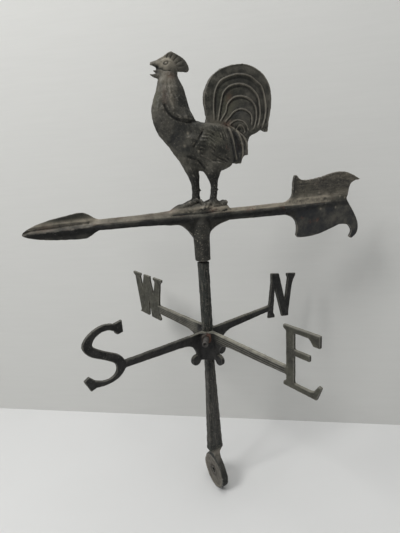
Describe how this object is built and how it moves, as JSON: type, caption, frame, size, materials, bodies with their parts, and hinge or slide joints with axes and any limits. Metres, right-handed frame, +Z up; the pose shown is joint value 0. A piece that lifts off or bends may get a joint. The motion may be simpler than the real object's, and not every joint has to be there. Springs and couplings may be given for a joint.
{
  "type": "weathervane",
  "caption": "Cast iron weathervane: a rooster on an arrow spins freely on a spindle over clamped compass letters; the mast ends in a knuckle disc bored for a roof bracket's bolt.",
  "frame": {"origin": "centre of the knuckle's bore, on the mast's axis", "axes": "+Z up the mast, +X along the knuckle's bore, whose mating face looks along -X; the north arm stands 9.7 degrees round from +X towards +Y and the west arm 99.7 degrees; at rest the arrow points 170.5 degrees round"},
  "size_m": [0.46, 0.3821, 0.6128],
  "materials": {
    "figure_iron": "weathered dark casting skin, rust-brown on the high points",
    "arrow_iron": "weathered casting skin, tan-grey where the light catches the ridge",
    "socket_iron": "weathered dark casting skin",
    "mast_iron": "greenish black weathered paint over iron, pale specks",
    "clamp_iron": "weathered dark casting skin",
    "arm_iron": "weathered dark casting skin",
    "arm_khaki": "khaki-grey weathered casting with lengthwise ridges",
    "letter_iron": "weathered dark casting skin",
    "pin_steel": "dull steel rod, browned by weather",
    "bolt_steel": "dull bolt, browned by weather",
    "nut_rust": "red rust"
  },
  "bodies": {
    "post": {"spindle_pin": "pin_steel", "mast": "mast_iron", "front_clamp": "clamp_iron", "rear_clamp": "clamp_iron", "arm_north": "arm_iron", "arm_east": "arm_khaki", "arm_south": "arm_iron", "arm_west": "arm_khaki", "letter_n": "letter_iron", "letter_e": "letter_iron", "letter_s": "letter_iron", "letter_w": "letter_iron", "clamp_bolt": "bolt_steel", "clamp_nut": "nut_rust"},
    "vane": {"rooster": "figure_iron", "arrow_bar": "arrow_iron", "arrow_point": "arrow_iron", "arrow_fin": "arrow_iron", "pivot_socket": "socket_iron"}
  },
  "joints": [
    {"name": "vane_spin", "type": "hinge", "parent": "post", "child": "vane", "pos_m": [0, 0, 0.3383], "axis": [0, 0, 1], "continuous": true}
  ]
}
